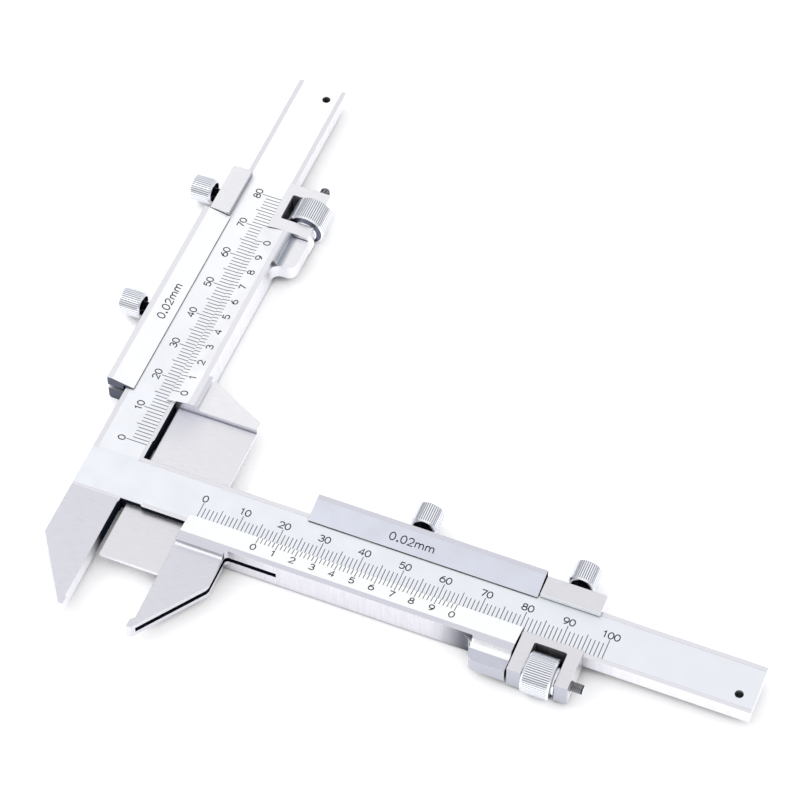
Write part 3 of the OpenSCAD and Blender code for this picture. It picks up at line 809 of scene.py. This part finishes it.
class CALIPER_OT_beam_scales(bpy.types.Operator):
    """Engraves the millimetre lines and figures of both beams"""

    bl_idname = "caliper.beam_scales"
    bl_label = "Beam scales"

    def execute(self, context):
        marks = context.scene.caliper_marks
        width, relief = marks.line_width / MM, marks.relief / MM
        height = marks.figure_height / MM
        for axis in AXES:
            mesh = bmesh.new()
            for reading in range(axis.last_figure + 1):
                u = axis.scale_zero + reading
                top = BEAM_LINE_TOPS[(reading % 5 == 0) + (reading % 10 == 0)]
                line = [(u, BEAM_LINE_FEET), (u, top)]
                add_stroke(mesh, line, width, BEAM_FACE, relief)
                if reading % 10 == 0:
                    middle = u - FIGURE_SHIFT
                    add_figures(
                        mesh, marks, BEAM_FACE, str(reading), middle, BEAM_FIGURES, height
                    )
            filling = [line_filling(context)]
            finish_piece(mesh, axis.name + "_scale", axis.beam, filling, "frame_body")
        return {"FINISHED"}


class CALIPER_OT_verniers(bpy.types.Operator):
    """Engraves the fifty vernier lines and their figures on both sliders"""

    bl_idname = "caliper.verniers"
    bl_label = "Vernier scales"

    def execute(self, context):
        marks = context.scene.caliper_marks
        width, relief = marks.line_width / MM, marks.relief / MM
        height = marks.figure_height / MM
        for axis in AXES:
            mesh = bmesh.new()
            for division in range(VERNIER_DIVISIONS + 1):
                u = axis.slider + division * VERNIER_STEP
                line = [(u, VERNIER_FEET[division % 5 == 0]), (u, VERNIER_TOPS)]
                add_stroke(mesh, line, width, VERNIER_BEVEL, relief)
                if division % 5 == 0:
                    figure, middle = str(division // 5 % 10), u - FIGURE_SHIFT
                    add_figures(
                        mesh, marks, VERNIER_BEVEL, figure, middle, VERNIER_FIGURES, height
                    )
            filling, body = [line_filling(context)], axis.name + "_slider_body"
            finish_piece(mesh, axis.name + "_vernier", axis.beam, filling, body)
        return {"FINISHED"}


class CALIPER_OT_reading_step(bpy.types.Operator):
    """Engraves the reading step on both clamping rails"""

    bl_idname = "caliper.reading_step"
    bl_label = "Reading step"

    def execute(self, context):
        marks = context.scene.caliper_marks
        height = marks.reading_height / MM
        for axis in AXES:
            mesh = bmesh.new()
            middle = axis.slider + axis.tail - LOCK_INSET + axis.words
            for letter, offset in (
                ("0", -4.95),
                (".", -3.55),
                ("0", -2.2),
                ("2", -0.4),
                ("m", 1.75),
                ("m", 4.3),
            ):
                u = middle + offset
                add_figures(mesh, marks, RAIL_BEVEL, letter, u, READING_FIGURES, height)
            filling, body = [line_filling(context)], axis.name + "_slider_body"
            finish_piece(mesh, axis.name + "_reading_step", axis.beam, filling, body)
        return {"FINISHED"}


def turned_shell(mesh, stations, segments, material=0, ring_closed=False):
    """Adds one turned shell about X; a station is its place and one radius or all of them."""
    rings = []
    for x, radius in stations:
        if radius == 0:
            rings.append([mesh.verts.new((x, 0, 0))])
            continue
        radii = radius if isinstance(radius, list) else [radius] * segments
        ring = []
        for i, r in enumerate(radii):
            turn = math.tau * i / segments
            ring.append(mesh.verts.new((x, r * math.cos(turn), r * math.sin(turn))))
        rings.append(ring)
    if ring_closed:
        rings.append(rings[0])
    for a, b in zip(rings, rings[1:]):
        for i in range(segments):
            j = (i + 1) % segments
            if len(a) == 1:
                corners = (a[0], b[j], b[i])
            elif len(b) == 1:
                corners = (a[i], a[j], b[0])
            else:
                corners = (a[i], a[j], b[j], b[i])
            mesh.faces.new(corners).material_index = material


def knurl_ring(radius, depth, grooves):
    """Radii around a straight knurl: a wide flat crest and a narrow V groove in each pitch."""
    return ([radius] * (KNURL_STEPS - 1) + [radius - depth]) * grooves


def dull_grooves(mesh, root, crest):
    """Gives the faces between a knurl's or thread's root and crest the darker finish, a
    painted shade.
    """
    for face in mesh.faces:
        reaches = [math.hypot(v.co.y, v.co.z) for v in face.verts]
        if len(reaches) == 4 and min(reaches) < root + 1e-4 < crest - 1e-4 < max(reaches):
            places = [v.co.x for v in face.verts]
            if max(places) - min(places) > 1.0:
                face.material_index = 2


def bright_crests(mesh, radius):
    """Gives a stud's faces outside a radius, and its end, the bright finish: a painted
    highlight on its crests.
    """
    for face in mesh.faces:
        middle = face.calc_center_median()
        if math.hypot(middle.y, middle.z) > radius or middle.x > STUD_REACH - 0.05:
            face.material_index = 0


def thread_stations(start, end, radius, pitch):
    """Stations of a cut thread: a sixty degree helix with flat crests."""
    depth = THREAD_DEPTH * pitch
    stations = []
    count = math.ceil((end - start) / pitch * THREAD_STEPS)
    for i in range(count + 1):
        x = start + (end - start) * i / count
        radii = []
        for j in range(THREAD_SIDES):
            turn = (x / pitch + j / THREAD_SIDES) % 1.0
            cut = max(0.0, 1 - abs(turn - 0.5) / THREAD_HALF)
            radii.append(radius - depth * cut)
        stations.append((x, radii))
    return stations


def turned_finishes(context):
    """The finishes of the turned pieces: plated, oiled with painted shade, painted shade in
    the grooves, and faced with painted shade.
    """
    found = [
        bpy.data.materials.get(name)
        for name in (
            "bright_chrome_on_turned_steel",
            "oiled_thread_steel",
            "dull_chrome_in_knurl_grooves",
            "faced_steel_under_oil",
        )
    ]
    if all(found):
        return found
    hues = context.scene.caliper_finishes
    # The knurl is rolled and then plated bright: smooth, with only faint drawing marks.
    bright = machined_steel(
        "bright_chrome_on_turned_steel",
        Finish(hues.knurl, 0.22, (0.5, 0.5, 0.5), 0.03, 0.0008),
        edge=0,
        gaps=False,
    )
    # Threads are cut and left bare, oiled; their near black colour is also painted shade, as
    # in the heads' hollows.
    oiled = machined_steel(
        "oiled_thread_steel",
        Finish(hues.thread, 0.28, (0.3, 0.3, 0.3), 0.12, 0.001),
        edge=0,
    )
    # Painted shade darkens the knurls' grooves.
    shaded_groove_chrome = machined_steel(
        "dull_chrome_in_knurl_grooves",
        Finish(hues.groove, 0.35, (0.3, 0.3, 0.3), 0.08, 0.001),
        edge=0,
    )
    # The nuts' end faces are turned last and not buffed; their dark colour is painted shade.
    faced = machined_steel(
        "faced_steel_under_oil",
        Finish(hues.end_face, 0.3, (3, 0.2, 0.2), 0.06, 0.001),
        edge=0,
    )
    return [bright, oiled, shaded_groove_chrome, faced]


class CALIPER_OT_thumb_screws(bpy.types.Operator):
    """Builds the two lock screws and two clamp screws with their knurls and threads"""

    bl_idname = "caliper.thumb_screws"
    bl_label = "Thumb screws"

    def execute(self, context):
        turned = context.scene.caliper_turned
        grooves = turned.head_grooves
        depth = turned.groove_depth / MM
        pitch = turned.screw_pitch / MM
        for axis in AXES:
            end = axis.slider + axis.tail
            for kind, u, tip, head in (
                ("lock", end - LOCK_INSET, LOCK_TIP, LOCK_HEAD),
                (
                    "clamp",
                    end + axis.carriage_gap + CARRIAGE_LENGTH / 2,
                    CLAMP_TIP,
                    CLAMP_HEAD,
                ),
            ):
                mesh = bmesh.new()
                crest = knurl_ring(HEAD_RADIUS, depth, grooves)
                segments = KNURL_STEPS * grooves
                far = head + HEAD_LENGTH
                hollow = HEAD_RADIUS - HEAD_RIM
                turned_shell(
                    mesh,
                    [
                        (head + HEAD_HOLLOW + 0.3, 0),
                        (head + HEAD_HOLLOW, hollow - 0.25),
                        (head + HEAD_HOLLOW, hollow),
                        (head, hollow),
                        (head, HEAD_RADIUS - HEAD_CHAMFER),
                        (head + HEAD_CHAMFER - depth, HEAD_RADIUS - depth),
                        (head + HEAD_CHAMFER, crest),
                        (far - HEAD_CHAMFER, crest),
                        (far - HEAD_CHAMFER + depth, HEAD_RADIUS - depth),
                        (far, HEAD_RADIUS - HEAD_CHAMFER),
                        (far, 0.5),
                        (far - 0.25, 0),
                    ],
                    segments,
                )
                dull_grooves(mesh, HEAD_RADIUS - depth, HEAD_RADIUS)
                # The head's hollow takes the dark oiled finish as painted shade.
                for face in mesh.faces:
                    middle = face.calc_center_median()
                    if middle.x < head + HEAD_HOLLOW + 0.3 and math.hypot(
                        middle.y, middle.z
                    ) <= hollow:
                        face.material_index = 1
                root = head + HEAD_HOLLOW + 0.2
                radius = SHANK_RADIUS
                stations = [(tip, 0), (tip, radius - THREAD_CHAMFER)]
                stations += thread_stations(tip + THREAD_CHAMFER, root, radius, pitch)
                turned_shell(mesh, stations + [(root, 0)], THREAD_SIDES, material=1)
                along_v = Matrix.Translation((u, 0, SCREW_PLANE)) @ Matrix.Rotation(
                    math.pi / 2, 4, "Z"
                )
                piece = finish_piece(
                    mesh,
                    f"{axis.name}_{kind}_thumb_screw",
                    axis.beam @ along_v,
                    turned_finishes(context),
                    f"{axis.name}_{kind}_body",
                    sharp=SHARP_ANGLE,
                )
                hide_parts(f"{axis.name}_{kind}_screw")
        return {"FINISHED"}


class CALIPER_OT_adjusting_nuts(bpy.types.Operator):
    """Builds the two knurled adjusting nuts"""

    bl_idname = "caliper.adjusting_nuts"
    bl_label = "Adjusting nuts"

    def execute(self, context):
        turned = context.scene.caliper_turned
        depth = turned.groove_depth / MM
        crest = knurl_ring(NUT_RADIUS, depth, turned.nut_grooves)
        for axis in AXES:
            start, end = axis.nut_band
            mesh = bmesh.new()
            turned_shell(
                mesh,
                [
                    (0, NUT_BORE),
                    (0, NUT_HUB - HUB_CHAMFER),
                    (HUB_CHAMFER, NUT_HUB),
                    (start, NUT_HUB),
                    (start, NUT_RADIUS - NUT_CHAMFER),
                    (start + NUT_CHAMFER - depth, NUT_RADIUS - depth),
                    (start + NUT_CHAMFER, crest),
                    (end - NUT_CHAMFER, crest),
                    (end - NUT_CHAMFER + depth, NUT_RADIUS - depth),
                    (end, NUT_RADIUS - NUT_CHAMFER),
                    (end, NUT_HUB),
                    (NUT_LENGTH - HUB_CHAMFER, NUT_HUB),
                    (NUT_LENGTH, NUT_HUB - HUB_CHAMFER),
                    (NUT_LENGTH, NUT_BORE),
                ],
                KNURL_STEPS * turned.nut_grooves,
                ring_closed=True,
            )
            dull_grooves(mesh, NUT_RADIUS - depth, NUT_RADIUS)
            # The nut's flat end rings take the faced finish, a painted shade.
            for face in mesh.faces:
                middle = face.calc_center_median()
                flat = min(abs(middle.x - start), abs(middle.x - end)) < 0.01
                if flat and math.hypot(middle.y, middle.z) > NUT_HUB + 0.1:
                    face.material_index = 3
            nut = axis.slider + axis.tail + axis.carriage_gap + NUT_START
            piece = finish_piece(
                mesh,
                axis.name + "_knurled_nut",
                axis.beam @ Matrix.Translation((nut, STUD_LINE, STUD_PLANE)),
                turned_finishes(context),
                axis.name + "_nut_body",
                sharp=SHARP_ANGLE,
            )
            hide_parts(axis.name + "_adjusting_nut")
        return {"FINISHED"}


class CALIPER_OT_studs(bpy.types.Operator):
    """Cuts the threads of the two adjusting studs"""

    bl_idname = "caliper.studs"
    bl_label = "Threaded studs"

    def execute(self, context):
        pitch = context.scene.caliper_turned.stud_pitch / MM
        for axis in AXES:
            mesh = bmesh.new()
            radius = STUD_RADIUS
            stations = [(-STUD_GRIP, 0), (-STUD_GRIP, radius), (0.1, radius)]
            stations += thread_stations(0.2, STUD_REACH - THREAD_CHAMFER, radius, pitch)
            stations += [(STUD_REACH, radius - THREAD_CHAMFER), (STUD_REACH, 0)]
            turned_shell(mesh, stations, THREAD_SIDES, material=1)
            # The stud is dark with painted shade, and its crests take a painted highlight.
            bright_crests(mesh, radius - 0.08 * pitch)
            piece = finish_piece(
                mesh,
                axis.name + "_threaded_stud",
                axis.beam
                @ Matrix.Translation((axis.slider + axis.tail, STUD_LINE, STUD_PLANE)),
                turned_finishes(context),
                axis.name + "_slider_body",
                sharp=SHARP_ANGLE,
            )
            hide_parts(axis.name + "_adjusting_stud")
        return {"FINISHED"}


class CALIPER_OT_stage(bpy.types.Operator):
    """Sets up the floor, the sky, the lamp and the camera"""

    bl_idname = "caliper.stage"
    bl_label = "Stage"

    def execute(self, context):
        scene = context.scene
        stage = scene.caliper_stage
        scene.view_settings.view_transform = "Standard"

        mesh = bmesh.new()
        bmesh.ops.create_grid(mesh, x_segments=1, y_segments=1, size=4.0)
        data = bpy.data.meshes.new("floor")
        mesh.to_mesh(data)
        mesh.free()
        floor = bpy.data.objects.new("floor", data)
        scene.collection.objects.link(floor)
        paper = bpy.data.materials.new("matt_white_floor_paper")
        paper.use_nodes = True
        tree = paper.node_tree
        shader = tree.nodes["Principled BSDF"]
        shader.inputs["Roughness"].default_value = 1.0
        shader.inputs["Specular IOR Level"].default_value = 0.0
        add = partial(add_node, tree)
        # Close under the pieces the paper lies in a deep shadow.
        open_sky = add("AmbientOcclusion", {"Distance": 9 * MM}, samples=8)["AO"]
        lit = add("MapRange", {0: open_sky, 1: 0.08, 2: 0.35, 3: 0.05, 4: 1.0})[0]
        # Mirrored rays see the paper brighter than it is, and its shadows stay.
        rays = add("LightPath")
        seen, mirrored = rays["Is Camera Ray"], rays["Is Glossy Ray"]
        glow = add("Math", {0: seen, 1: 0.25}, operation="MULTIPLY")[0]
        glow = add("Math", {0: mirrored, 1: 0.47, 2: glow}, operation="MULTIPLY_ADD")[0]
        glow = add("Math", {0: glow, 1: lit}, operation="MULTIPLY")[0]
        white = stage.floor_color[:3]
        color = add("VectorMath", {0: white, "Scale": lit}, operation="SCALE")[0]
        tree.links.new(color, shader.inputs["Base Color"])
        shader.inputs["Emission Color"].default_value = (1.0, 1.0, 1.0, 1.0)
        tree.links.new(glow, shader.inputs["Emission Strength"])
        data.materials.append(paper)

        world = bpy.data.worlds.new("soft_white_tent")
        scene.world = world
        world.use_nodes = True
        tree = world.node_tree
        sky = tree.nodes["Background"]
        sky.inputs["Color"].default_value = (1.0, 1.0, 1.0, 1.0)
        add = partial(add_node, tree)
        way = add("TexCoord")["Generated"]
        ways = add("SeparateXYZ", {0: way})
        # The tent is white overhead and on the right, and greyer to the left and near the
        # table, which gives steel its form.
        height = add("MapRange", {0: ways[2], 1: 0.0, 2: 0.5, 3: 0.6, 4: 1.0})[0]
        side = add("MapRange", {0: ways[0], 1: -0.9, 2: -0.35, 3: 0.65, 4: 1.05})[0]
        tent = add("Math", {0: height, 1: side}, operation="MULTIPLY")[0]
        seen = add("LightPath")["Is Camera Ray"]
        light = add("Mix", {0: seen, 2: tent, 3: 1.0})[0]
        tree.links.new(light, sky.inputs["Strength"])

        lamp = bpy.data.lights.new("key_lamp", "AREA")
        lamp.shape = "RECTANGLE"
        lamp.size = 0.7
        lamp.size_y = 0.5
        lamp.energy = stage.key_power
        key = bpy.data.objects.new("key_lamp", lamp)
        key.location = (-0.62, -0.12, 0.62)
        key.rotation_euler = (-key.location).to_track_quat("-Z", "Y").to_euler()
        scene.collection.objects.link(key)

        # The places of the graduations in the photograph gave the camera's stand and tilt.
        lens = bpy.data.cameras.new("camera")
        lens.lens = 148.76
        lens.sensor_width = 36.0
        lens.clip_start = 0.01
        camera = bpy.data.objects.new("camera", lens)
        right = Vector((0.92565, 0.37828, -0.00872))
        up = Vector((-0.30111, 0.75039, 0.58843))
        back = Vector((0.22913, -0.54206, 0.80850))
        turn = Matrix((right, up, back)).transposed().to_4x4()
        stand = (Vector((210.38, -380.24, 633.08)) + SCALE_ORIGIN) * MM
        camera.matrix_world = Matrix.Translation(stand) @ turn
        scene.collection.objects.link(camera)
        scene.camera = camera
        return {"FINISHED"}


class CALIPER_PT_sidebar(bpy.types.Panel):
    """The caliper's pieces, sizes and colours"""

    bl_idname = "CALIPER_PT_sidebar"
    bl_label = "Gear tooth caliper"
    bl_space_type = "VIEW_3D"
    bl_region_type = "UI"
    bl_category = "Caliper"

    def draw(self, context):
        for title, name in (
            ("Finishes", "caliper_finishes"),
            ("Marks", "caliper_marks"),
            ("Turned parts", "caliper_turned"),
            ("Stage", "caliper_stage"),
        ):
            box = self.layout.box()
            box.label(text=title)
            group = getattr(context.scene, name)
            for key in group.bl_rna.properties.keys():
                if key not in ("name", "rna_type"):
                    box.prop(group, key)
        for step in STEPS:
            self.layout.operator(step.bl_idname)


GROUPS = {
    "caliper_finishes": CaliperFinishes,
    "caliper_marks": CaliperMarks,
    "caliper_turned": CaliperTurnedParts,
    "caliper_stage": CaliperStage,
}
STEPS = (
    CALIPER_OT_finish_steel,
    CALIPER_OT_beam_scales,
    CALIPER_OT_verniers,
    CALIPER_OT_reading_step,
    CALIPER_OT_thumb_screws,
    CALIPER_OT_adjusting_nuts,
    CALIPER_OT_studs,
    CALIPER_OT_stage,
)


def register():
    for group in GROUPS.values():
        bpy.utils.register_class(group)
    for name, group in GROUPS.items():
        setattr(bpy.types.Scene, name, PointerProperty(type=group))
    for step in (*STEPS, CALIPER_PT_sidebar):
        bpy.utils.register_class(step)


def unregister():
    for step in (CALIPER_PT_sidebar, *reversed(STEPS)):
        bpy.utils.unregister_class(step)
    for name, group in GROUPS.items():
        delattr(bpy.types.Scene, name)
        bpy.utils.unregister_class(group)


def main():
    register()
    bpy.ops.caliper.finish_steel()
    bpy.ops.caliper.beam_scales()
    bpy.ops.caliper.verniers()
    bpy.ops.caliper.reading_step()
    bpy.ops.caliper.thumb_screws()
    bpy.ops.caliper.adjusting_nuts()
    bpy.ops.caliper.studs()
    bpy.ops.caliper.stage()


if __name__ == "__main__":
    main()
